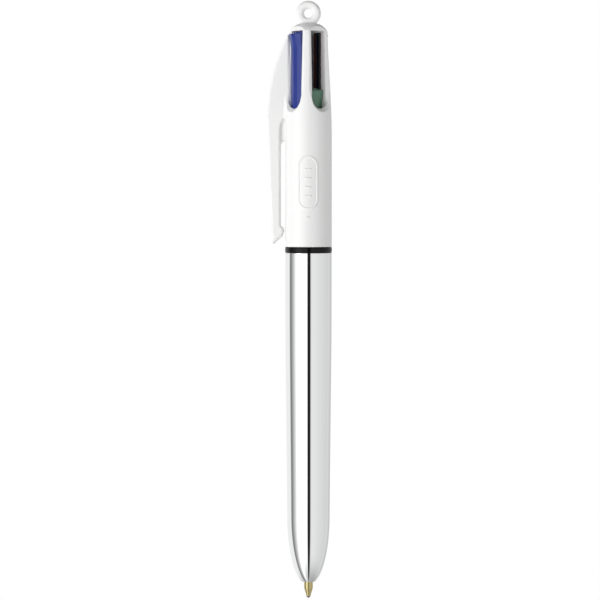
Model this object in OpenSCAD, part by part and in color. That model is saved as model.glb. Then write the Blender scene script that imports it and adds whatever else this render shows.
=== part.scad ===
// Four-colour click pen, drawn at its real size in millimetres.
// +Z runs up the pen's axis and the origin is the writing point of the extended refill.
// The clip is on -X. Four stations at 45 degrees to the clip each hold one colour, and the
// green refill is extended while the other three are retracted.

/* [Barrels] */
// Outer radius of the upper barrel
barrel_r = 5.8; // [5.75:0.05:6.1]
// Radius of the upper barrel's bore
bore_r = 5.0; // [4.95:0.05:5.1]
// Height of the lower barrel's shoulder, where the trim ring starts
shoulder_z = 86.05; // [84:0.5:87]
// Height of the trim ring's visible band
ring_h = 1.45; // [1:0.05:2]
// Length of the screwed joint between the two barrels
thread_len = 7; // [5:0.5:8]
// Radius of the lower barrel where it starts to taper
grip_r = 5.78; // [5.7:0.02:5.8]
// Radius of the lower barrel where the nose starts
nose_r = 5.28; // [5.2:0.02:5.4]
// Height of the nose's open end
mouth_z = 4.1; // [3.8:0.1:4.4]

/* [Head] */
// Height at which the head starts to narrow
head_z0 = 115; // [112:1:117]
// How much the radius shrinks over the head
head_drop = 1.1; // [0.9:0.05:1.2]
// Height of the head's shoulder, under the dome
dome_z = 140.95; // [140.9:0.05:141.5]
// Rise of the dome
dome_h = 2.05; // [1.8:0.05:2.5]
// Width of each window
window_w = 4.3; // [4.2:0.05:4.4]
// Distance from the axis to a window's flat, at the window's foot
flat_d = 4.17; // [4.1:0.01:4.25]

/* [Lanyard loop] */
// Radius of the loop's hole
loop_hole_r = 1.15; // [1:0.05:1.4]
// Outer radius of the loop
loop_r = 3.05; // [2.8:0.05:3.3]
// Thickness of the loop
loop_t = 2.4; // [2:0.1:2.8]

/* [Clip] */
// Thickness of the clip, across the pen
clip_t = 3.0; // [2.6:0.1:3.1]
// How far the clip reaches from the axis
clip_reach = 10.2; // [9.8:0.1:10.6]
// Distance from the axis to the clip's inner edge
clip_inner = 7.0; // [6.8:0.1:7.2]

/* [Mechanism] */
// Travel of a pusher from up to latched
travel = 14; // [13:0.5:14]
// Distance of a retracted refill from the axis
station_r = 3.2; // [3.2:0.02:3.24]
// Inward lean of a latched pusher, in degrees
lean = 2.66; // [2:0.02:3]
// Outer radius of a refill tube
tube_r = 1.3; // [1.25:0.01:1.32]
// Radius of a brass tip
tip_r = 1.1; // [1.05:0.01:1.11]
// Radius of the writing ball
ball_r = 0.5; // [0.4:0.05:0.5]
// Diameter of the spring wire
wire_d = 0.3; // [0.25:0.01:0.32]

/* [Hidden] */
COLOURS = ["blue", "green", "black", "red"];
ANGLES = [225, 315, 45, 135];
PAINT = ["#2a3c90", "#3f6a50", "#1b1b1d", "#b3202b"];
$fn = 48;
EPS = 0.01;
FAR = 20;

ring_top = shoulder_z + ring_h;
head_z1 = dome_z + 2.05;
loop_z = dome_z + 4.45;
nose_z = 20;                 // the nose is part of an ellipse from here down
nose_len = 17;
socket_r = 5.15;             // lower barrel's socket for the screwed spigot
spigot_r = socket_r - 0.05;
spigot_bore = 4.6;
plate_z = ring_top + 2.5;    // underside of the spring plate, on the ring's upper spigot
plate_h = 1.5;
slot_foot = 121.4;           // underside of the four pillars, and foot of the slots
window_z = 124.05;           // centre of a window's round foot
bevel_z = 124.3;             // centre of the bevel round a window's foot
flat_slope = 0.028;          // how fast the flats close in towards the top
slot_d = flat_d + 0.13;      // how far out the slots reach inside the wall
slot_top = dome_z - 0.05;

blade_w = window_w - 0.3;
blade_in = 2.15;             // inner face of a pusher's blade
blade_out = 4.17;            // outer face of a pusher's blade
blade_top = 140.4;
ridge_d = 3.3;               // a pusher's blade stands higher than its lip, up to here
ridge_top = dome_z - 0.15;
cap_z = 113;                 // underside of a pusher's spring cap when it is up
cap_h = 1.5;
cap_r = 1.7;
stem_r = 0.6;
pivot_z = cap_z - 3;         // a pusher leans about the rocker at this height on its stem
rocker_r = 0.75;
rocker_w = 1.1;

tip_len = 8.5;               // length of the brass in front of the tube
tip_neck = 3;                // length of the brass inside the tube
tip_shoulder = 2.4;          // where the tip's cone reaches its full radius
tube_bore = 1.05;
spring_r = 1.55;             // mean radius of a spring's coil
spring_turns = 11;
bend_z0 = 12;                // an extended tube bends between these two heights
bend_z1 = 86;

function smooth(s) = let (t = min(1, max(0, s))) t * t * (3 - 2 * t);
function is_down(i) = COLOURS[i] == "green";
function drop(i) = is_down(i) ? travel : 0;
function head_r(z) = barrel_r - head_drop * smooth((z - head_z0) / (head_z1 - head_z0));
function dome_top(r) = dome_z + dome_h * (1 - pow(r / head_r(dome_z), 3.3));
function nose(z) = nose_r * sqrt(1 - pow((nose_z - z) / nose_len, 2));

// Joins rings of points into one solid: a closed loop of rings, or a stack with two end caps.
module skin(rings, loop = false) {
    n = len(rings);
    m = len(rings[0]);
    walls = [for (i = [0 : n - (loop ? 1 : 2)], j = [0 : m - 1])
        let (k = (i + 1) % n, l = (j + 1) % m)
        [i * m + j, k * m + j, k * m + l, i * m + l]];
    caps = loop ? [] : [[for (j = [0 : m - 1]) j], [for (j = [m - 1 : -1 : 0]) (n - 1) * m + j]];
    polyhedron([for (r = rings) each r], concat(walls, caps), convexity = 10);
}

module station(i) { rotate([0, 0, ANGLES[i]]) children(); }

// ---- upper barrel: shell, head, clip and loop in one moulding

module barrel_outside() {
    rotate_extrude($fn = 96) polygon(concat(
        [[0, ring_top], [barrel_r, ring_top]],
        [for (k = [0 : 12]) let (z = head_z0 + (dome_z - head_z0) * k / 12) [head_r(z), z]],
        [for (k = [1 : 7]) let (r = head_r(dome_z) * (1 - k / 8)) [r, dome_top(r)]],
        [[0, dome_z + dome_h]]));
}

module clip_plate() {
    // The clip's back is a parabola down to its widest point, then a straight taper.
    peak_z = 119;
    top_z = 140;
    root_z = 116.5;
    root_h = 3;
    root_in = 1.5;
    inside_wall = 4.7;
    bump = [-7.1, 91.5];
    bump_r = 1.15;
    back = [for (k = [0 : 12]) let (s = 1 - k / 12)
        [clip_reach - 5.1 * s * s, peak_z + (top_z - peak_z) * s]];
    foot = [[clip_reach - 1.3, 88.2], [6.5, 90.4], [clip_inner, 93], [clip_inner, root_z]];
    root_arc = [for (k = [1 : 4]) let (a = 90 * k / 4)
        [clip_inner - root_in * (1 - cos(a)), root_z + root_h * sin(a)]];
    translate([0, clip_t / 2, 0]) rotate([90, 0, 0]) linear_extrude(clip_t) {
        mirror([1, 0]) polygon(concat(back, foot, root_arc,
            [[inside_wall, root_z + root_h], [inside_wall, top_z]]));
        translate(bump) circle(bump_r);
    }
    // A thinner web ties the plate to the pillar above and to the barrel below its root.
    web_t = 1.4;
    translate([0, web_t / 2, 0]) rotate([90, 0, 0]) linear_extrude(web_t) mirror([1, 0])
        polygon(concat([[4.0, 139.5], [5.6, 139], [7.4, 119]],
            [for (k = [0 : 4]) let (a = 90 * k / 4)
                [7.2 - 1.7 * (1 - cos(a)), 111.5 + 2.6 * sin(a)]],
            [[5.2, 119], [4.0, 122]]));
}

module loop_ring() {
    round_r = 0.8;
    mid = (loop_hole_r + loop_r) / 2;
    half = (loop_r - loop_hole_r) / 2 - round_r;
    translate([0, 0, loop_z]) rotate([90, 0, 0]) rotate_extrude($fn = 64) {
        for (u = [-1, 1], v = [-1, 1])
            translate([mid + u * half, v * (loop_t / 2 - round_r)]) circle(round_r, $fn = 24);
        translate([loop_hole_r, round_r - loop_t / 2])
            square([loop_r - loop_hole_r, loop_t - 2 * round_r]);
        translate([mid - half, -loop_t / 2]) square([2 * half, loop_t]);
    }
}

// One station's cuts in the head: the flat, the bevel round its foot and the window.
module window_cut() {
    tilt = atan(flat_slope);
    deep = 3;
    bevel_in = 2.2;
    bevel_out = 4.77;
    translate([flat_d, 0, bevel_z]) rotate([0, -tilt, 0])
        translate([0, -FAR / 2, 0]) cube([FAR, FAR, FAR]);
    translate([4.2, 0, bevel_z]) rotate([0, 90, 0]) cylinder(h = deep, r1 = bevel_in, r2 = bevel_out);
    translate([3, 0, window_z]) rotate([0, 90, 0]) cylinder(h = deep, d = window_w);
}

module slot_cut() {
    translate([0, -window_w / 2, slot_foot - EPS])
        cube([slot_d, window_w, slot_top - slot_foot]);
    translate([0, -window_w / 2, window_z]) cube([7, window_w, slot_top - window_z]);
}

module upper_barrel() {
    color("#f4f4f2") difference() {
        union() {
            difference() {
                barrel_outside();
                for (i = [0 : 3]) station(i) window_cut();
            }
            clip_plate();
            loop_ring();
        }
        for (i = [0 : 3]) station(i) slot_cut();
        translate([0, 0, ring_top - EPS]) cylinder(h = slot_foot - ring_top + EPS, r = bore_r, $fn = 96);
        translate([0, loop_t, loop_z]) rotate([90, 0, 0]) cylinder(h = 2 * loop_t, r = loop_hole_r);
    }
}

// ---- the joint between the barrels

module trim_ring() {
    groove = 0.12;
    groove_h = 0.4;
    grooves = 5;
    crown = 0.06;
    color("#161616") difference() {
        union() {
            // The visible band is slightly crowned.
            rotate_extrude($fn = 96) polygon([[0, shoulder_z], [barrel_r - 0.06, shoulder_z],
                [barrel_r + crown, shoulder_z + 0.3], [barrel_r + crown + 0.01, ring_top - 0.3],
                [barrel_r - 0.06, ring_top], [0, ring_top]]);
            translate([0, 0, ring_top]) cylinder(h = plate_z - ring_top, r = bore_r, $fn = 96);
            translate([0, 0, shoulder_z - thread_len + 0.2])
                cylinder(h = thread_len - 0.2, r = spigot_r, $fn = 96);
        }
        translate([0, 0, shoulder_z - thread_len]) cylinder(h = FAR, r = spigot_bore, $fn = 96);
        // Ring grooves stand for the thread.
        for (k = [1 : grooves]) translate([0, 0, shoulder_z - 0.8 - k]) difference() {
            cylinder(h = groove_h, r = spigot_r + 1);
            cylinder(h = groove_h, r = spigot_r - groove, $fn = 96);
        }
    }
}

module spring_plate() {
    hub_r = 1.2;
    color("#e9e9e6") difference() {
        union() {
            translate([0, 0, plate_z]) cylinder(h = plate_h, r = bore_r - 0.05, $fn = 96);
            translate([0, 0, plate_z]) cylinder(h = plate_h + 3, r = hub_r);
        }
        for (i = [0 : 3]) station(i) translate([station_r, 0, plate_z - EPS])
            cylinder(h = FAR, r = tube_r + 0.07);
    }
}

module lower_barrel() {
    taper_z = 66.8;
    inner_r = 4.85;
    mouth_r = 1.58;
    outside = concat(
        [for (k = [0 : 14]) let (z = mouth_z + (nose_z - mouth_z) * (1 - cos(90 * k / 14))) [nose(z), z]],
        [[grip_r, taper_z], [grip_r, shoulder_z]]);
    socket = [[socket_r, shoulder_z], [socket_r, shoulder_z - thread_len - 0.1],
              [inner_r, shoulder_z - thread_len - 0.6]];
    // The bore closes in on the mouth and steers a refill to the axis.
    funnel = [[inner_r, 40], [4.7, 24], [4.42, 16.3], [3.86, 10.3], [3.26, 8], [mouth_r, mouth_z]];
    color("#c9ccd0") rotate_extrude($fn = 96) polygon(concat(outside, socket, funnel));
}

// ---- one colour: pusher, spring, refill tube, tip and ball

// A pusher as it stands when it is up, in its station's frame.
module pusher_up() {
    ear = [1.0, 5.2, 1.6];
    ear_d = 3.1;
    ear_z = 119.6;
    lip_d = 4.85;
    lip_r = 0.7;
    // The blade seen from the side, with its thumb lip flaring out at the top.
    side = concat(
        [[blade_in, cap_z + cap_h - EPS], [blade_out, cap_z + cap_h - EPS],
         [blade_out, 136.6], [blade_out + 0.2, 137.4], [lip_d, 139.2]],
        [for (k = [0 : 4]) let (a = 90 * k / 4)
            [lip_d - lip_r * (1 - cos(a)), blade_top - lip_r * (1 - sin(a))]],
        [[ridge_d, blade_top], [ridge_d, ridge_top], [blade_in, ridge_top]]);
    // The blade seen from above: its inner corners are cut back so that neighbours can lean.
    plan = [[blade_in, -1], [blade_in + 1, -blade_w / 2], [6, -blade_w / 2],
            [6, blade_w / 2], [blade_in + 1, blade_w / 2], [blade_in, 1]];
    intersection() {
        rotate([90, 0, 0]) translate([0, 0, -blade_w]) linear_extrude(2 * blade_w) polygon(side);
        translate([0, 0, cap_z]) linear_extrude(FAR * 2) polygon(plan);
    }
    translate([ear_d, -ear.y / 2, ear_z]) cube(ear);
    translate([station_r, 0, cap_z]) cylinder(h = cap_h, r = cap_r);
    // The stem enters the refill tube, and the rocker across its end is what the pusher leans on.
    translate([station_r, 0, pivot_z]) cylinder(h = cap_z - pivot_z + EPS, r = stem_r);
    translate([station_r, rocker_w / 2, pivot_z]) rotate([90, 0, 0])
        cylinder(h = rocker_w, r = rocker_r);
}

module pusher(i) {
    color(PAINT[i]) station(i) translate([0, 0, -drop(i)])
        if (is_down(i))
            translate([station_r, 0, pivot_z]) rotate([0, -lean, 0])
                translate([-station_r, 0, -pivot_z]) pusher_up();
        else pusher_up();
}

// A coil spring between the spring plate and the pusher's cap.
module spring(i) {
    z0 = plate_z + plate_h + wire_d / 2 + 0.02;
    z1 = cap_z - drop(i) - wire_d / 2 - (is_down(i) ? 0.12 : 0.02);
    steps = 12;
    count = spring_turns * steps;
    // The two end turns are closed up, and the turns between them share the rest of the height.
    function rise(s) = let (t = min(1, max(0, (s * spring_turns - 1) / (spring_turns - 2))))
        wire_d * 1.02 * (min(1, s * spring_turns) + max(0, s * spring_turns - spring_turns + 1))
        + (z1 - z0 - 2.04 * wire_d) * t;
    color("#b9bcc0") station(i) translate([station_r, 0, 0]) skin([for (k = [0 : count])
        let (a = 360 * k / steps, z = z0 + rise(k / count))
        [for (b = [0 : 60 : 300]) let (r = spring_r + wire_d / 2 * cos(b))
            [r * cos(a), r * sin(a), z + wire_d / 2 * sin(b)]]]);
}

function tube_shift(z) = station_r * smooth((z - bend_z0) / (bend_z1 - bend_z0));
function tube_ring(r, z) = [for (a = [0 : 30 : 330]) [tube_shift(z) + r * cos(a), r * sin(a), z]];

module refill_tube(i) {
    z0 = tip_len + travel;
    z1 = cap_z - 0.1;
    bends = 30;
    color("#dfe3e6", 0.7) station(i)
        if (is_down(i)) {
            top = z1 - travel;
            zs = concat([tip_len], [for (k = [0 : bends]) bend_z0 + (bend_z1 - bend_z0) * k / bends], [top]);
            skin(concat([for (z = zs) tube_ring(tube_r, z)],
                [for (k = [len(zs) - 1 : -1 : 0]) tube_ring(tube_bore, zs[k])]), loop = true);
        } else translate([station_r, 0, z0]) difference() {
            cylinder(h = z1 - z0, r = tube_r);
            translate([0, 0, -EPS]) cylinder(h = z1 - z0 + 1, r = tube_bore);
        }
}

// Where a colour's writing point stands, in its station's frame.
module at_point(i) {
    station(i) translate(is_down(i) ? [0, 0, 0] : [station_r, 0, travel]) children();
}

module tip(i) {
    lip_z = 0.42;
    lip_r = 0.56;
    ink_r = 0.33;
    neck_r = tube_bore - 0.05;
    color("#c9a85a") at_point(i) difference() {
        rotate_extrude() polygon([[ink_r, lip_z], [lip_r, lip_z], [tip_r, tip_shoulder],
            [tip_r, tip_len - EPS], [neck_r, tip_len - EPS], [neck_r, tip_len + tip_neck],
            [ink_r, tip_len + tip_neck]]);
        translate([0, 0, ball_r]) sphere(ball_r + 0.01);
    }
}

module ball(i) {
    color("#8d9096") at_point(i) translate([0, 0, ball_r]) sphere(ball_r);
}

upper_barrel();
trim_ring();
spring_plate();
lower_barrel();
for (i = [0 : 3]) {
    pusher(i);
    spring(i);
    refill_tube(i);
    tip(i);
    ball(i);
}
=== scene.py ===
"""A four-colour click pen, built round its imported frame.

Shapes are worked out in millimetres, and turned into metres when a mesh is made. Each colour has a
station: a frame whose +d axis points out from the pen's axis, with +t across it and +z up the pen.
"""
import math

import bpy
import numpy as np
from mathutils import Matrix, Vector


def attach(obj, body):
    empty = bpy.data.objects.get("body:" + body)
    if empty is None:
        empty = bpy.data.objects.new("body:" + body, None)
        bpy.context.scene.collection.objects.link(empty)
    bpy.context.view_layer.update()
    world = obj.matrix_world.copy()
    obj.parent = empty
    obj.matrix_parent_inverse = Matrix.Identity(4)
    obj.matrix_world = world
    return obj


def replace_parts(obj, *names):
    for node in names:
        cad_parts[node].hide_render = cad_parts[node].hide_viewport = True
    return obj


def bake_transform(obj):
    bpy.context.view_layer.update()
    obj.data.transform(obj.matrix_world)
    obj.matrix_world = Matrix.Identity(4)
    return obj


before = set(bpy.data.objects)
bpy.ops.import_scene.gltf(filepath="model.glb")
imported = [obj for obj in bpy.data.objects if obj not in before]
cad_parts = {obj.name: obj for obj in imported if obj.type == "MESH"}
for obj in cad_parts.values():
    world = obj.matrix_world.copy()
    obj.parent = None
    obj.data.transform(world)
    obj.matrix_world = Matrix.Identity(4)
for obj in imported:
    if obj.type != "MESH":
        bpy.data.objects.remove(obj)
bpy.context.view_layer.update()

MM = 0.001
UP = Vector((0, 0, 1))

# ---- driving dimensions, the same as the frame's but for the clip's foot and bump

SHOULDER_Z, RING_TOP = 86.05, 87.5
BARREL_R, BORE_R = 5.8, 5.0
NOSE_R, GRIP_R, MOUTH_Z, NOSE_LEN, NOSE_TOP, GRIP_Z = 5.28, 5.78, 4.1, 17, 20, 66.8
SOCKET_R, SPIGOT_R, SPIGOT_BORE, THREAD_LEN = 5.15, 5.1, 4.6, 7
HEAD_Z0, HEAD_DROP, DOME_Z, DOME_H = 115, 1.1, 140.95, 2.05
FLAT_D, FLAT_SLOPE, BEVEL_Z = 4.17, 0.028, 124.3
SLOT_HALF, SLOT_D, SLOT_FOOT, SLOT_TOP, WINDOW_Z = 2.15, 4.3, 121.4, 140.9, 124.05
LOOP_Z, LOOP_MID, LOOP_HALF, LOOP_T = 145.4, 2.1, 0.95, 2.4
CLIP_REACH, CLIP_INNER, CLIP_HALF = 10.2, 7.0, 1.5
CLIP_PEAK_Z, CLIP_TOP_Z, CLIP_ROOT_Z, CLIP_TOP_IN = 119, 140, 116.5, 5.1
CLIP_FOOT_T, CLIP_FOOT_Z, BUMP_X, BUMP_Z, BUMP_R = 1.45, 88.42, -7.4, 91.5, 1.22
PLATE_Z, PLATE_T = 90, 1.5
TRAVEL, LEAN, STATION_R, PIVOT_Z = 14, math.radians(2.66), 3.2, 110
BLADE_IN, BLADE_OUT, BLADE_HALF, BLADE_TOP, RIDGE_TOP = 2.15, 4.17, 2.0, 140.4, 140.8
CAP_Z, CAP_H, CAP_R, STEM_R = 113, 1.5, 1.7, 0.6
TUBE_R, TUBE_BORE, TIP_R, TIP_LEN, TIP_NECK = 1.3, 1.05, 1.1, 8.5, 3
SPRING_R, SPRING_TURNS, WIRE_R = 1.55, 11, 0.15
BEND_Z0, BEND_Z1 = 12, 86

COLOURS = {"blue": 225, "green": 315, "black": 45, "red": 135}
DOWN = "green"


# ---- small helpers

def smooth(s):
    s = np.clip(s, 0, 1)
    return s * s * (3 - 2 * s)


def soft_max(a, b, k):
    """The larger of two fields, with the edge between them rounded over about k."""
    near = np.maximum(k - np.abs(a - b), 0) / k
    return np.maximum(a, b) + near * near * k / 4


def soft_min(a, b, k):
    return -soft_max(-a, -b, k)


def in_station(angle, x, y):
    """Distance out along a station's direction, and across it."""
    c, s = math.cos(math.radians(angle)), math.sin(math.radians(angle))
    return x * c + y * s, y * c - x * s


def polygon_field(points, x, y):
    """Signed distance to a closed outline, negative inside."""
    near = np.full(x.shape, np.inf)
    inside = np.zeros(x.shape, bool)
    for (ax, ay), (bx, by) in zip(points, points[1:] + points[:1]):
        ex, ey = bx - ax, by - ay
        along = np.clip(((x - ax) * ex + (y - ay) * ey) / (ex * ex + ey * ey), 0, 1)
        near = np.minimum(near, (x - ax - along * ex) ** 2 + (y - ay - along * ey) ** 2)
        if by != ay:
            crosses = (ay > y) != (by > y)
            inside ^= crosses & (x < ax + (y - ay) * ex / ey)
    return np.where(inside, -1, 1) * np.sqrt(near)


def arc(centre, radii, start, end, steps):
    """Points on an ellipse's arc, from start to end in degrees."""
    angles = np.radians(np.linspace(start, end, steps))
    return [(centre[0] + radii[0] * math.cos(a), centre[1] + radii[1] * math.sin(a))
            for a in angles]


def new_object(name, verts, faces, material, normals=None, crease=None):
    """A mesh object from millimetre points. crease is the angle past which an edge is sharp."""
    mesh = bpy.data.meshes.new(name)
    mesh.from_pydata((np.asarray(verts) * MM).tolist(), [], faces)
    mesh.validate()
    mesh.shade_smooth()
    if crease is not None:
        mesh.set_sharp_from_angle(angle=math.radians(crease))
    if normals is not None:
        mesh.normals_split_custom_set_from_vertices(normals.tolist())
    mesh.materials.append(material)
    obj = bpy.data.objects.new(name, mesh)
    bpy.context.scene.collection.objects.link(obj)
    return obj


def ring_faces(rings, sides, closed=False):
    """Quads between neighbouring rings of points. closed joins the last ring to the first."""
    faces = []
    for i in range(rings if closed else rings - 1):
        lower, upper = i * sides, (i + 1) % rings * sides
        for j in range(sides):
            k = (j + 1) % sides
            faces.append((lower + j, lower + k, upper + k, upper + j))
    return faces


def end_faces(count, sides):
    """Faces over the first and the last ring of a tube that has this many points."""
    return [tuple(range(sides))[::-1], tuple(range(count - sides, count))]


def lathe(name, section, material, sides=192, crease=35, centre=(0, 0, 0)):
    """A solid turned about an upright axis from a closed section of (radius, height) points.
    The section runs up the outside and down the inside."""
    turns = np.linspace(0, 2 * math.pi, sides, endpoint=False)
    section = np.asarray(section, float)
    verts = np.stack([np.outer(section[:, 0], np.cos(turns)) + centre[0],
                      np.outer(section[:, 0], np.sin(turns)) + centre[1],
                      np.repeat(section[:, 1:2], sides, 1) + centre[2]], -1)
    return new_object(name, verts.reshape(-1, 3), ring_faces(len(section), sides, closed=True),
                      material, crease=crease)


def sweep(path, radius, sides):
    """Rings of points round a path, for a wire or a tube."""
    path = np.asarray(path, float)
    ahead = np.gradient(path, axis=0)
    ahead /= np.linalg.norm(ahead, axis=1, keepdims=True)
    side = np.cross(ahead, (0, 0, 1.0))
    flat = np.linalg.norm(side, axis=1) < 1e-6
    side[flat] = (1, 0, 0)
    side /= np.linalg.norm(side, axis=1, keepdims=True)
    over = np.cross(ahead, side)
    turns = np.linspace(0, 2 * math.pi, sides, endpoint=False)
    rings = (path[:, None] + radius * (side[:, None] * np.cos(turns)[None, :, None]
                                       + over[:, None] * np.sin(turns)[None, :, None]))
    return rings.reshape(-1, 3)


# ---- surfaces from fields

def surface_net(axes, values):
    """A quad mesh of a field's zero level, with one vertex in each cell that it crosses."""
    shape = np.array(values.shape)
    cells = shape - 1
    total = np.zeros((cells.prod(), 4))
    quads = []
    for axis in range(3):
        step = np.eye(3, dtype=int)[axis]
        first = values[tuple(slice(0, n - s) for n, s in zip(shape, step))]
        second = values[tuple(slice(s, n) for n, s in zip(shape, step))]
        edge = np.argwhere((first < 0) != (second < 0))
        v0, v1 = first[tuple(edge.T)], second[tuple(edge.T)]
        point = np.stack([grid[edge[:, n]] for n, grid in enumerate(axes)], -1).astype(float)
        ahead = axes[axis][edge[:, axis] + 1] - axes[axis][edge[:, axis]]
        point[:, axis] += v0 / (v0 - v1) * ahead
        across = [(axis + 1) % 3, (axis + 2) % 3]
        corners = []
        for a, b in ((-1, -1), (0, -1), (0, 0), (-1, 0)):
            cell = edge.copy()
            cell[:, across[0]] += a
            cell[:, across[1]] += b
            corners.append(cell)
        whole = np.all([(c >= 0) & (c < cells) for c in corners], axis=(0, 2))
        index = np.stack([np.ravel_multi_index(c[whole].T, cells) for c in corners], 1)
        for column in index.T:
            for n in range(3):
                total[:, n] += np.bincount(column, point[whole, n], len(total))
            total[:, 3] += np.bincount(column, minlength=len(total))
        leaving = (v0 < 0)[whole]
        index[~leaving] = index[~leaving][:, ::-1]
        quads.append(index)
    quads = np.concatenate(quads)
    used, flat = np.unique(quads, return_inverse=True)
    return total[used, :3] / total[used, 3:], flat.reshape(quads.shape)


def slope(field, points, step=0.01):
    """The field's gradient at each point."""
    parts = []
    for n in range(3):
        shift = np.zeros(3)
        shift[n] = step
        ahead, back = points + shift, points - shift
        parts.append((field(*ahead.T) - field(*back.T)) / (2 * step))
    return np.stack(parts, -1)


def mesh_field(field, axes, turn=0.0):
    """Points, quads and normals of a field's surface, from a grid that is turned about Z."""
    c, s = math.cos(turn), math.sin(turn)
    u, v, z = np.meshgrid(*axes, indexing="ij")
    points, quads = surface_net(axes, field(u * c - v * s, u * s + v * c, z))
    points = np.stack([points[:, 0] * c - points[:, 1] * s,
                       points[:, 0] * s + points[:, 1] * c, points[:, 2]], -1)
    reach = 0.6 * (axes[0][1] - axes[0][0])
    for _ in range(3):
        grad = slope(field, points)
        move = field(*points.T)[:, None] * grad / np.maximum((grad ** 2).sum(1, keepdims=True), 0.2)
        length = np.linalg.norm(move, axis=1, keepdims=True)
        points -= move * np.minimum(1, reach / np.maximum(length, 1e-9))
    normals = slope(field, points)
    normals /= np.maximum(np.linalg.norm(normals, axis=1, keepdims=True), 1e-9)
    return points, quads.tolist(), normals


def grid_line(start, *stretches):
    """Grid heights from start, in stretches of (end, spacing)."""
    line = [np.array([start], float)]
    for end, spacing in stretches:
        count = max(1, round((end - line[-1][-1]) / spacing))
        line.append(np.linspace(line[-1][-1], end, count + 1)[1:])
    return np.concatenate(line)


# ---- materials

def finish(name, colour, roughness, metallic=0.0, mottle=0.03, mottle_mm=4.0, grain_mm=0.2,
           bump_mm=0.002, stretch=1.0, vary=0.2, **shader):
    """A procedural finish: slow changes of colour and roughness, and a fine relief.
    stretch draws the texture out along the pen."""
    made = bpy.data.materials.new(name)
    made.use_nodes = True
    tree = made.node_tree
    bsdf = tree.nodes["Principled BSDF"]
    bsdf.inputs["Metallic"].default_value = metallic
    for key, value in shader.items():
        bsdf.inputs[key.replace("_", " ")].default_value = value
    coords = tree.nodes.new("ShaderNodeTexCoord")
    drawn = tree.nodes.new("ShaderNodeMapping")
    drawn.inputs["Scale"].default_value = (1, 1, 1 / stretch)
    tree.links.new(coords.outputs["Object"], drawn.inputs["Vector"])

    def noise(size_mm, detail):
        node = tree.nodes.new("ShaderNodeTexNoise")
        node.inputs["Scale"].default_value = 1 / (size_mm * MM)
        node.inputs["Detail"].default_value = detail
        tree.links.new(drawn.outputs["Vector"], node.inputs["Vector"])
        return node.outputs["Fac"]

    slow, fine = noise(mottle_mm, 3), noise(grain_mm, 2)
    blend = tree.nodes.new("ShaderNodeMix")
    blend.data_type = "RGBA"
    blend.inputs["A"].default_value = (*[c * (1 - mottle) for c in colour], 1)
    blend.inputs["B"].default_value = (*[min(1, c * (1 + mottle)) for c in colour], 1)
    tree.links.new(slow, blend.inputs["Factor"])
    tree.links.new(blend.outputs["Result"], bsdf.inputs["Base Color"])
    spread = tree.nodes.new("ShaderNodeMapRange")
    spread.inputs["From Min"].default_value, spread.inputs["From Max"].default_value = 0.3, 0.7
    spread.inputs["To Min"].default_value = roughness * (1 - vary)
    spread.inputs["To Max"].default_value = roughness * (1 + vary)
    tree.links.new(slow, spread.inputs["Value"])
    tree.links.new(spread.outputs["Result"], bsdf.inputs["Roughness"])
    bump = tree.nodes.new("ShaderNodeBump")
    bump.inputs["Strength"].default_value = 0.5
    bump.inputs["Distance"].default_value = bump_mm * MM
    tree.links.new(fine, bump.inputs["Height"])
    tree.links.new(bump.outputs["Normal"], bsdf.inputs["Normal"])
    return made


WHITE = finish("white_plastic", (0.86, 0.86, 0.855), 0.25, mottle=0.004, mottle_mm=8,
               bump_mm=0.0006, vary=0.06)
TRIM = finish("black_trim", (0.003, 0.003, 0.0034), 0.12, mottle=0.2, bump_mm=0.0006,
              Specular_IOR_Level=0.22)
INNER = finish("inner_plastic", (0.74, 0.74, 0.72), 0.42, mottle=0.02)
CHROME = finish("chrome", (0.93, 0.935, 0.94), 0.035, 1.0, mottle=0.008, mottle_mm=1.5,
                grain_mm=0.6, bump_mm=0.000008, stretch=12)
BRASS = finish("brass", (0.55, 0.46, 0.23), 0.04, 1.0, mottle=0.05, mottle_mm=0.6,
               grain_mm=0.1, bump_mm=0.0002, vary=0.3)
STEEL = finish("spring_steel", (0.55, 0.56, 0.58), 0.25, 1.0, mottle=0.06, mottle_mm=1.0)
CARBIDE = finish("carbide", (0.20, 0.20, 0.21), 0.18, 1.0, mottle=0.05, mottle_mm=0.3)
PLASTICS = {"blue": (0.009, 0.027, 0.225), "green": (0.066, 0.18, 0.11),
            "black": (0.003, 0.003, 0.0035), "red": (0.42, 0.016, 0.022)}
INKS = {"blue": (0.01, 0.02, 0.25), "green": (0.0, 0.09, 0.04),
        "black": (0.004, 0.004, 0.005), "red": (0.3, 0.005, 0.01)}
GLAZE = {"Coat_Weight": 0.4, "Coat_Roughness": 0.08, "Coat_IOR": 1.6,
         "Sheen_Weight": 0.9, "Sheen_Roughness": 0.25}
PAINT = {c: finish(f"{c}_plastic", rgb, 0.18, mottle=0.04, bump_mm=0.0004, **GLAZE)
         for c, rgb in PLASTICS.items()}
TUBE = finish("refill_tube", (0.75, 0.78, 0.80), 0.3, mottle=0.02, Transmission_Weight=0.75,
              IOR=1.45)
INK = {c: finish(f"{c}_ink", rgb, 0.25, mottle=0.08, mottle_mm=1.5) for c, rgb in INKS.items()}


def hand_in(obj, body, slot, *nodes):
    """The piece rides on a body and stands for these CAD nodes. slot is not used."""
    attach(obj, body)
    if nodes:
        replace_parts(obj, *nodes)
    return obj


# ---- upper barrel: shell, head, clip and lanyard loop in one moulding

def head_r(z):
    return BARREL_R - HEAD_DROP * smooth((z - HEAD_Z0) / (DOME_Z + DOME_H - HEAD_Z0))


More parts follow.
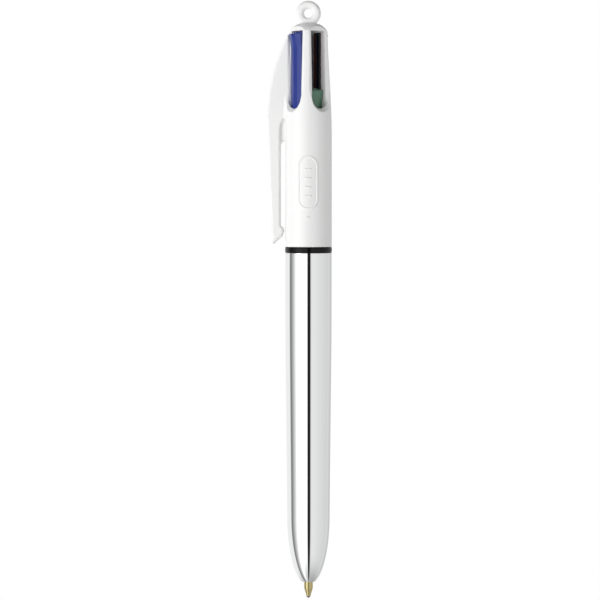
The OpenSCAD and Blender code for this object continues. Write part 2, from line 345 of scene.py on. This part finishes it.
def flat_at(t, z):
    """How far out a station's face lies, and how steep it is there. It is dished round the
    window, steeply at the foot and gently above it."""
    foot_rise, rise_drop, rim_r, rim_growth, edge = 1.17, 0.82, 2.2, 0.3, 0.2
    above = smooth((z - BEVEL_Z + 1) / 3.5)
    rise = foot_rise - rise_drop * above
    rim = soft_max(np.hypot(t, np.minimum(z - BEVEL_Z, 0)) - rim_r - rim_growth * above, 0, edge)
    return FLAT_D - FLAT_SLOPE * np.maximum(z - BEVEL_Z, 0) + rise * rim, np.hypot(1, rise)


HEAD_END_R = float(head_r(DOME_Z))
CLIP_OUTLINE = (
    [(CLIP_REACH - CLIP_TOP_IN * s * s, CLIP_PEAK_Z + (CLIP_TOP_Z - CLIP_PEAK_Z) * s)
     for s in np.linspace(1, 0, 13)]
    + arc((CLIP_REACH - CLIP_FOOT_T, CLIP_FOOT_Z), (0.15, 0.15), 0, -130, 5)
    + [(6.5, 90.2), (CLIP_INNER, 93), (CLIP_INNER, CLIP_ROOT_Z)]
    + arc((CLIP_INNER - 1.5, CLIP_ROOT_Z), (1.5, 3), 22, 90, 5) + [(4.7, 119.5), (4.7, CLIP_TOP_Z)])
WEB_OUTLINE = ([(4.0, 139.5), (5.6, 139), (7.4, 119)]
               + arc((5.5, 111.5), (1.7, 2.6), 0, 90, 6) + [(5.2, 119), (4.0, 122)])


def clip_field(x, y, z):
    """The clip's plate with its bump, and the thin web behind the plate."""
    web_half = 0.7
    plate = polygon_field(CLIP_OUTLINE, -x, z)
    plate = soft_min(plate, np.hypot(x - BUMP_X, z - BUMP_Z) - BUMP_R, 0.2)
    plate = soft_max(plate, np.abs(y) - CLIP_HALF, 0.5)
    web = soft_max(polygon_field(WEB_OUTLINE, -x, z), np.abs(y) - web_half, 0.2)
    return soft_min(plate, web, 0.3)


def loop_field(x, y, z):
    """A flat ring facing the front, with rounded edges."""
    round_r = 0.75
    a = np.abs(np.hypot(x, z - LOOP_Z) - LOOP_MID) - (LOOP_HALF - round_r)
    b = np.abs(y) - (LOOP_T / 2 - round_r)
    return np.hypot(np.maximum(a, 0), np.maximum(b, 0)) + np.minimum(np.maximum(a, b), 0) - round_r


def upper_barrel_field(x, y, z):
    """Shell, dome, bevels, clip and loop, less the bore, the slots and the windows."""
    dome_power, slot_lap, neck, window_in = 3.3, 0.4, 1.2, 3
    r = np.hypot(x, y)
    share = np.minimum(r / HEAD_END_R, 1.4)
    dome = z - DOME_Z - DOME_H * (1 - share ** dome_power)
    dome = dome / np.hypot(1, dome_power * DOME_H / HEAD_END_R * share ** (dome_power - 1))
    solid = soft_max(r - head_r(z), dome, 0.2)
    cut = np.maximum(r - BORE_R, z - SLOT_FOOT)
    for angle in COLOURS.values():
        d, t = in_station(angle, x, y)
        cut = np.maximum(cut, np.minimum(d - SLOT_D, z - SLOT_FOOT + neck))
        face, steep = flat_at(t, z)
        solid = soft_max(solid, (d - face) / steep, 0.12)
        slot = np.maximum.reduce([np.abs(t) - SLOT_HALF, d - SLOT_D, -d, SLOT_FOOT - slot_lap - z])
        foot = np.hypot(t, np.minimum(z - WINDOW_Z, 0)) - SLOT_HALF
        window = np.maximum(foot, window_in - d)
        cut = np.minimum(cut, np.maximum(np.minimum(slot, window), z - SLOT_TOP))
    # The clip runs into the head through a wide fillet, but its foot stays apart from the barrel.
    fillet = 0.05 + 0.65 * smooth((z - 98) / 10)
    solid = soft_min(solid, clip_field(x, y, z), fillet)
    solid = soft_min(solid, loop_field(x, y, z), 0.3)
    # The cut's edges are softest round the windows' feet.
    edge = 0.18 + 0.22 * smooth((126 - z) / 2) * smooth((z - 118) / 2)
    solid = soft_max(solid, -cut, edge)
    return soft_max(solid, RING_TOP - z, 0.15)


def upper_barrel():
    """Meshed on a grid turned by 45 degrees, so that its lines run along the windows. The cells
    are long where the barrel is a plain tube, and the grid reaches out to the clip."""
    cell, low, high = 0.2, -6.1, 8.7
    across = grid_line(-high, (-low, cell)), grid_line(low, (high, cell))
    up = grid_line(87.2, (94.4, cell), (111, 0.5), (148.8, cell))
    points, quads, normals = mesh_field(upper_barrel_field, (*across, up), math.radians(45))
    body = new_object("upper_barrel_moulding", points, quads, WHITE, normals=normals)
    return hand_in(body, "root", "white_plastic", "upper_barrel")


def raised_motif():
    """Plain raised lines on the front: an outline with round ends, four short bars in it, and
    one bar under it."""
    middle_angle, middle_z = math.radians(274), 103.4
    half_w, half_h, line, lift, sunk = 2.4, 6.4, 0.3, 0.13, 0.02
    bar_heights, bar_half, low_bar_half, low_bar_drop = (-3.3, -1.1, 1.1, 3.3), 0.9, 0.6, 2.2
    verts, faces = [], []

    def ridge(path, closed):
        """A low ridge along (across, up) points laid on the barrel."""
        path = np.asarray(path, float)
        if closed:
            ahead = np.roll(path, -1, 0) - np.roll(path, 1, 0)
        else:
            ahead = np.gradient(path, axis=0)
        ahead /= np.linalg.norm(ahead, axis=1, keepdims=True)
        left = np.stack([-ahead[:, 1], ahead[:, 0]], -1)
        width = np.full(len(path), line)
        if not closed:
            width[[0, -1]] = 0.02    # the ends run out to a point
        first, count = len(verts), 9
        for s in np.cos(np.linspace(0, math.pi, count)):
            spot = path + left * (s * width)[:, None]
            r = BARREL_R - sunk + (lift + sunk) * (1 - s ** 4) * np.minimum(1, width / line)
            a = middle_angle + spot[:, 0] / BARREL_R
            verts.extend(np.stack([r * np.cos(a), r * np.sin(a), middle_z + spot[:, 1]], -1))
        steps = len(path)
        start = [first + row * steps for row in range(count)]
        for lower, upper in zip(start, start[1:] + start[:1]):
            for n in range(steps if closed else steps - 1):
                k = (n + 1) % steps
                faces.append((lower + n, lower + k, upper + k, upper + n))
        if not closed:
            faces.extend([tuple(start), tuple(n + steps - 1 for n in reversed(start))])

    ends = half_h - half_w
    ridge(arc((0, ends), (half_w, half_w), 0, 180, 24)[:-1]
          + [(-half_w, v) for v in np.linspace(ends, -ends, 18)[:-1]]
          + arc((0, -ends), (half_w, half_w), 180, 360, 24)[:-1]
          + [(half_w, v) for v in np.linspace(-ends, ends, 18)[:-1]], True)
    for v in bar_heights:
        ridge([(s, v) for s in np.linspace(-bar_half, bar_half, 14)], False)
    low = -half_h - low_bar_drop
    ridge([(s, low) for s in np.linspace(-low_bar_half, low_bar_half, 10)], False)
    return hand_in(new_object("raised_motif", verts, faces, WHITE), "root", "white_plastic")


# ---- lower barrel and trim ring

def body_r(z):
    """Radius of the lower barrel without its nose: a slow taper with soft ends."""
    s, soft = (z - NOSE_TOP) / (GRIP_Z - NOSE_TOP), 0.06
    ramp = soft * (np.logaddexp(0, s / soft) - np.logaddexp(0, (s - 1) / soft))
    return NOSE_R + (GRIP_R - NOSE_R) * ramp


def lower_barrel():
    """A thin shell: an elliptic nose and a slow taper outside, a socket and funnel inside."""
    lip = 0.12
    quarter = np.radians(np.linspace(0, 90, 90))
    nose_z = MOUTH_Z + (NOSE_TOP - MOUTH_Z) * (1 - np.cos(quarter))
    nose = [(body_r(z) * math.sqrt(1 - ((NOSE_TOP - z) / NOSE_LEN) ** 2), z) for z in nose_z]
    nose = [p for p in nose if p[1] > MOUTH_Z + 0.05]
    shank = [(body_r(z), z) for z in np.linspace(NOSE_TOP, SHOULDER_Z - lip, 120)[1:]]
    shoulder = arc((GRIP_R - lip, SHOULDER_Z - lip), (lip, lip), 0, 90, 6)[1:]
    bore, socket_end = 4.85, SHOULDER_Z - THREAD_LEN
    inside = [(SOCKET_R, SHOULDER_Z), (SOCKET_R, socket_end - 0.1), (bore, socket_end - 0.6)]
    inside += [(bore, 40), (4.7, 24), (4.42, 16.3), (3.86, 10.3), (3.26, 8)]
    inside += [(1.6, MOUTH_Z + 0.1), (1.62, MOUTH_Z + 0.02), (1.7, MOUTH_Z)]
    shell = lathe("lower_barrel_shell", nose + shank + shoulder + inside, CHROME, 256)
    return hand_in(shell, "lower_barrel", "chrome", "lower_barrel")


def trim_ring():
    """The visible band, with a spigot up into the white barrel and a threaded one down."""
    bulge, edge, gap, rounding, sunk, wall = 0.07, 0.12, 0.005, 0.04, 0.01, 0.35
    pitch, depth, run_out, sharpness = 1.0, 0.2, 0.6, 3.2
    band = [(BARREL_R - edge, SHOULDER_Z + gap), (BARREL_R - rounding, SHOULDER_Z + rounding)]
    band += [(BARREL_R - sunk + bulge * math.sin(math.pi * s), SHOULDER_Z + 2 * rounding
              + (RING_TOP - SHOULDER_Z - 4 * rounding) * s) for s in np.linspace(0, 1, 15)]
    band += [(BARREL_R - rounding, RING_TOP - rounding), (BARREL_R - edge, RING_TOP - gap)]
    upper = [(BORE_R, RING_TOP - gap), (BORE_R, PLATE_Z - 0.1), (BORE_R - 0.1, PLATE_Z),
             (SPIGOT_BORE, PLATE_Z)]
    foot, top = SHOULDER_Z - THREAD_LEN + 0.2, SHOULDER_Z - 0.7
    inner = [(SPIGOT_BORE, foot), (SPIGOT_R - wall, foot)]
    thread = [(SPIGOT_R, z) for z in np.linspace(foot + 0.3, top, 90)]
    section = band + upper + inner + thread + [(SPIGOT_R, SHOULDER_Z + gap)]
    ring = lathe("trim_ring_threaded", section, TRIM, 128, crease=None)
    for v in ring.data.vertices:
        z, r = v.co.z / MM, math.hypot(v.co.x, v.co.y) / MM
        if abs(r - SPIGOT_R) < 0.01 and foot + 0.2 < z < top:
            phase = (z / pitch - math.atan2(v.co.y, v.co.x) / (2 * math.pi)) % 1
            fade = min(1, (z - foot - 0.2) / run_out, (top - z) / run_out)
            groove = depth * fade * max(0, 1 - abs(phase - 0.5) * sharpness)
            v.co.x *= 1 - groove / r
            v.co.y *= 1 - groove / r
    ring.data.set_sharp_from_angle(angle=math.radians(35))
    return hand_in(ring, "root", "black_trim", "trim_ring")


# ---- one colour: pusher, spring, refill tube with its ink, brass tip

def pusher_field(d, t, z):
    """A pusher standing up: blade with a thumb lip, ears, spring cap, stem and rocker.
    The blade stands a little proud of the frame's, and its edges are cut back in facets."""
    lip_z, lip_rise, lip_out, soft = 136.8, 3.0, 0.70, 0.08
    proud, wider, facet_from, facet_slope = 0.12, 0.05, 0.75, 0.3
    ear_d, ear_z, ear_half = 3.6, 120.4, (0.5, 2.6, 0.8)
    s = (z - lip_z) / lip_rise
    lip = lip_out * soft * (np.logaddexp(0, s / soft) - np.logaddexp(0, (s - 1) / soft))
    facet = soft_max(np.abs(t) - facet_from, 0, 0.08)
    face = BLADE_OUT + proud + lip - facet_slope * facet
    blade = soft_max(d - face, np.abs(t) - BLADE_HALF - wider, 0.12)
    blade = soft_max(blade, BLADE_IN + 0.25 * t * t - d, 0.3)
    lower = (RIDGE_TOP - BLADE_TOP) * smooth((d - 3.1) / 0.3) + 0.06 * np.maximum(d - 3.4, 0) ** 2
    blade = soft_max(blade, z - RIDGE_TOP + lower, 0.35)
    blade = soft_max(blade, CAP_Z + CAP_H / 2 - z, 0.1)
    ears = np.maximum.reduce([np.abs(d - ear_d) - ear_half[0], np.abs(t) - ear_half[1],
                              np.abs(z - ear_z) - ear_half[2]])
    out = np.hypot(d - STATION_R, t)
    cap = soft_max(out - CAP_R, np.abs(z - CAP_Z - CAP_H / 2) - CAP_H / 2, 0.3)
    stem = np.maximum(out - STEM_R, np.abs(z - (PIVOT_Z + CAP_Z) / 2) - (CAP_Z - PIVOT_Z) / 2)
    rocker = np.hypot(np.hypot(d - STATION_R, z - PIVOT_Z),
                      np.maximum(np.abs(t) - 0.15, 0) * 1.6) - 0.75
    whole = soft_min(soft_min(blade, ears, 0.25), cap, 0.3)
    return soft_min(soft_min(whole, stem, 0.3), rocker, 0.2)


def to_station(points, angle):
    """From a station's (d, t, z) to the pen's frame."""
    a = math.radians(angle)
    d, t = points[:, 0], points[:, 1]
    return np.stack([d * math.cos(a) - t * math.sin(a), d * math.sin(a) + t * math.cos(a),
                     points[:, 2]], -1)


def pushers():
    """One mesh set in each station. The one that is down is leant and lowered."""
    cell = 0.13
    axes = (grid_line(1.3, (5.4, cell)), grid_line(-2.99, (2.99, cell)),
            grid_line(108.9, (122, cell), (134, 0.4), (140.9, cell)))
    points, quads, normals = mesh_field(pusher_field, axes)
    for colour, angle in COLOURS.items():
        spot, facing = points, normals
        if colour == DOWN:
            turn = np.array([[math.cos(LEAN), 0, -math.sin(LEAN)], [0, 1, 0],
                             [math.sin(LEAN), 0, math.cos(LEAN)]])
            pivot = np.array([STATION_R, 0, PIVOT_Z])
            spot = (points - pivot) @ turn.T + pivot - (0, 0, TRAVEL)
            facing = normals @ turn.T
        piece = new_object(f"{colour}_pusher_slider", to_station(spot, angle), quads, PAINT[colour],
                           normals=to_station(facing, angle))
        hand_in(piece, f"{colour}_pusher", f"{colour}_plastic", f"{colour}_pusher")


def spring(colour, angle):
    """A coil from the spring plate to the pusher's cap, with a closed turn at each end."""
    drop = TRAVEL if colour == DOWN else 0
    closed_pitch, gap, leaning_gap = 2.04, 0.02, 0.12
    z0 = PLATE_Z + PLATE_T + WIRE_R + gap
    z1 = CAP_Z - drop - WIRE_R - (leaning_gap if drop else gap)
    s = np.linspace(0, 1, SPRING_TURNS * 36 + 1)
    turn = s * SPRING_TURNS
    closed = np.minimum(1, turn) + np.maximum(0, turn - SPRING_TURNS + 1)
    rise = closed_pitch * WIRE_R * closed
    rise += (z1 - z0 - 2 * closed_pitch * WIRE_R) * np.clip((turn - 1) / (SPRING_TURNS - 2), 0, 1)
    a = 2 * math.pi * turn
    path = np.stack([STATION_R + SPRING_R * np.cos(a), SPRING_R * np.sin(a), z0 + rise], -1)
    sides = 10
    verts = to_station(sweep(path, WIRE_R, sides), angle)
    faces = ring_faces(len(path), sides) + end_faces(len(verts), sides)
    coil = new_object(f"{colour}_spring_coil", verts, faces, STEEL, crease=40)
    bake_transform(coil)
    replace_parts(coil, f"{colour}_spring")


def refill(colour, angle):
    """The tube and the ink in it. The one that is down is drawn bent, from the tip on the pen's
    axis over to its station; the others stand straight in their stations.
    """
    sides, air, gap = 24, 12, 0.1
    down = colour == DOWN
    lift = 0 if down else TRAVEL
    bottom, top = TIP_LEN + lift, CAP_Z - gap - (TRAVEL if down else 0)
    heights = np.linspace(bottom, top, 120)
    if down:
        shift = STATION_R * smooth((heights - BEND_Z0) / (BEND_Z1 - BEND_Z0))
    else:
        shift = np.full(len(heights), STATION_R)
    turns = np.linspace(0, 2 * math.pi, sides, endpoint=False)

    def column(name, rings, closed, material):
        """A piece from rings of (radius, place along d, height). closed joins the last ring to
        the first. If it isn't set, both ends get a face."""
        verts = np.concatenate([np.stack([x + r * np.cos(turns), r * np.sin(turns),
                                          np.full(sides, z)], -1) for r, x, z in rings])
        faces = ring_faces(len(rings), sides, closed)
        if not closed:
            faces += end_faces(len(verts), sides)
        piece = new_object(name, to_station(verts, angle), faces, material, crease=40)
        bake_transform(piece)
        return piece

    outer = [(TUBE_R, x, z) for x, z in zip(shift, heights)]
    inner = [(TUBE_BORE, x, z) for x, z in zip(shift, heights)][::-1]
    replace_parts(column(f"{colour}_tube", outer + inner, True, TUBE), f"{colour}_refill_tube")
    full = (heights > bottom + TIP_NECK + gap) & (heights < top - air)
    ink = [(TUBE_BORE - 0.01, x, z) for x, z in zip(shift[full], heights[full])]
    column(f"{colour}_ink", ink, False, INK[colour])


def tip(colour, angle):
    """A turned brass point: cone, shank, a shoulder under the tube and a neck inside it."""
    lift = 0 if colour == DOWN else TRAVEL
    centre = to_station(np.array([[STATION_R if lift else 0.0, 0, lift]]), angle)[0]
    bore, neck_r, neck_top = 0.33, TUBE_BORE - 0.05, TIP_LEN + TIP_NECK
    cone = [(bore, 0.72), (0.47, 0.55), (0.485, 0.44), (0.51, 0.44), (0.535, 0.47), (0.70, 1.12),
            (1.06, 2.30), (1.095, 2.42), (TIP_R, 2.55)]
    shank = [(TIP_R, TIP_LEN - 0.2), (1.06, TIP_LEN - 0.02)]
    neck = [(neck_r, TIP_LEN - 0.02), (neck_r, neck_top - 0.2), (TUBE_BORE - 0.2, neck_top)]
    section = cone + shank + neck + [(bore, neck_top)]
    piece = lathe(f"{colour}_brass_tip", section, BRASS, 96, crease=25, centre=centre)
    hand_in(piece, f"{colour}_point", "brass", f"{colour}_tip")


def repaint(node, material):
    """A CAD solid that stays in view gets a finish of its own."""
    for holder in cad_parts[node].material_slots:
        holder.material = material


# ---- the studio: a white room whose light changes with the compass direction

CAMERA_ANGLE = math.radians(276)


def studio_light():
    """Light by compass direction, in degrees to the right of the camera as seen from the pen."""
    bands = [(-180, 0.9), (-110, 0.9), (-105, 0.30), (-98, 0.20), (-90, 0.38), (-83, 0.52),
             (-77, 0.68), (-71, 0.86), (-65, 1.1), (-58, 1.8), (-42, 1.9), (-34, 1.2),
             (-7, 1.1), (-4, 0.01), (8, 0.01), (11, 0.60), (15, 0.83), (30, 0.83),
             (60, 0.76), (107, 0.68), (120, 0.72), (150, 0.55), (180, 0.9)]
    world = bpy.data.worlds.new("studio")
    bpy.context.scene.world = world
    world.use_nodes = True
    tree = world.node_tree
    tree.nodes.clear()

    def node(kind, **settings):
        made = tree.nodes.new(kind)
        for key, value in settings.items():
            setattr(made, key, value)
        return made

    def link(a, b):
        tree.links.new(a, b)

    coords = node("ShaderNodeTexCoord")
    parts = []    # the direction's shares to the right of the camera and towards it
    for a in (CAMERA_ANGLE + math.pi / 2, CAMERA_ANGLE):
        dot = node("ShaderNodeVectorMath", operation="DOT_PRODUCT")
        dot.inputs[1].default_value = (math.cos(a), math.sin(a), 0)
        link(coords.outputs["Generated"], dot.inputs[0])
        parts.append(dot.outputs["Value"])
    angle = node("ShaderNodeMath", operation="ARCTAN2")
    link(parts[0], angle.inputs[0])
    link(parts[1], angle.inputs[1])
    height = node("ShaderNodeSeparateXYZ")
    link(coords.outputs["Generated"], height.inputs["Vector"])

    def fade(source, low, high, at_low, at_high):
        """A smooth change of value between two inputs."""
        made = node("ShaderNodeMapRange", interpolation_type="SMOOTHSTEP")
        for socket, value in zip(list(made.inputs)[1:5], (low, high, at_low, at_high)):
            socket.default_value = value
        link(source, made.inputs["Value"])
        return made.outputs["Result"]

    def maths(operation, a, b):
        """A sum, product or quotient of sockets or numbers."""
        made = node("ShaderNodeMath", operation=operation)
        for socket, value in zip(made.inputs, (a, b)):
            if isinstance(value, (int, float)):
                socket.default_value = value
            else:
                link(value, socket)
        return made.outputs["Value"]

    # Below the pen the bands close in towards the front, as the side lights stand on the floor.
    share = maths("DIVIDE", angle.outputs["Value"], math.pi)
    below = fade(height.outputs["Z"], -0.95, -0.1, 0.8, 0)
    cube = maths("MULTIPLY", share, maths("MULTIPLY", share, share))
    share = maths("ADD", share, maths("MULTIPLY", below, cube))
    turn = maths("ADD", maths("MULTIPLY", share, 0.5), 0.5)
    ramp = node("ShaderNodeValToRGB")
    brightest = max(value for _, value in bands)
    stops = ramp.color_ramp.elements
    for degrees, value in bands:
        place = (degrees + 180) / 360
        stop = {0: stops[0], 1: stops[-1]}.get(place) or stops.new(place)
        stop.color = (*[value / brightest] * 3, 1)
    link(turn, ramp.inputs["Fac"])

    # The room is nearly dark overhead, and a little dimmer towards the floor.
    above = fade(height.outputs["Z"], 0.06, 0.62, 1, 0.04)
    under = fade(height.outputs["Z"], -0.95, -0.4, 0.55, 1)
    strength = maths("MULTIPLY", maths("MULTIPLY", above, under), brightest)

    lit = node("ShaderNodeBackground")
    link(ramp.outputs["Color"], lit.inputs["Color"])
    link(strength, lit.inputs["Strength"])
    seen = node("ShaderNodeBackground")
    seen.inputs["Color"].default_value = (1, 1, 1, 1)
    path = node("ShaderNodeLightPath")
    mix = node("ShaderNodeMixShader")
    link(path.outputs["Is Camera Ray"], mix.inputs["Fac"])
    link(lit.outputs["Background"], mix.inputs[1])
    link(seen.outputs["Background"], mix.inputs[2])
    out = node("ShaderNodeOutputWorld")
    link(mix.outputs["Shader"], out.inputs["Surface"])


def soft_lights():
    """Broad soft lights round the pen: name, energy, degrees to the right of the camera and width.
    Gloss shows the studio's bands only."""
    lights = (("key", 1.62, -58, 70), ("fill", 0.45, 62, 70), ("back", 1.1, 180, 40))
    for name, energy, side, width in lights:
        light = bpy.data.lights.new(name, "SUN")
        light.energy = energy
        light.angle = math.radians(width)
        lamp = bpy.data.objects.new(name, light)
        side = CAMERA_ANGLE + math.radians(side)
        towards = Vector((math.cos(side), math.sin(side), 0.04))
        lamp.rotation_euler = towards.to_track_quat("Z", "Y").to_euler()
        lamp.visible_glossy = False
        bpy.context.scene.collection.objects.link(lamp)


def floor():
    """A plain white floor, clear of the barrel when it is off, and seen by the camera only."""
    radius, corners, drop = 60, 72, 10
    paper = bpy.data.materials.new("paper")
    paper.use_nodes = True
    tree = paper.node_tree
    tree.nodes.clear()
    glow = tree.nodes.new("ShaderNodeEmission")
    out = tree.nodes.new("ShaderNodeOutputMaterial")
    tree.links.new(glow.outputs["Emission"], out.inputs["Surface"])
    outline = arc((0, 0), (radius, radius), 0, 360 - 360 / corners, corners)
    sheet = new_object("floor", [(x, y, -drop) for x, y in outline], [tuple(range(corners))], paper)
    sheet.visible_diffuse = sheet.visible_glossy = sheet.visible_shadow = False
    sheet.visible_transmission = False


def camera():
    """A little above the pen's middle, as in a catalogue picture."""
    distance, height, aim_z, aim_side, seen_width = 700, 95, 74.3, 2.11, 149.2
    out = Vector((math.cos(CAMERA_ANGLE), math.sin(CAMERA_ANGLE), 0))
    aim = out.cross(UP) * aim_side + UP * aim_z
    spot = out * distance + out.cross(UP) * aim_side + UP * height
    lens = bpy.data.cameras.new("camera")
    lens.sensor_width = 36
    lens.lens = lens.sensor_width * (spot - aim).length / seen_width
    lens.clip_start = 0.01
    view = bpy.data.objects.new("camera", lens)
    view.location = spot * MM
    view.rotation_euler = (aim - spot).to_track_quat("-Z", "Y").to_euler()
    bpy.context.scene.collection.objects.link(view)
    bpy.context.scene.camera = view


camera()
studio_light()
soft_lights()
floor()
bpy.context.scene.view_settings.view_transform = "Standard"

upper_barrel()
raised_motif()
lower_barrel()
trim_ring()
pushers()
repaint("spring_plate", INNER)
for colour, angle in COLOURS.items():
    spring(colour, angle)
    refill(colour, angle)
    tip(colour, angle)
    repaint(f"{colour}_ball", CARBIDE)

bpy.context.view_layer.update()
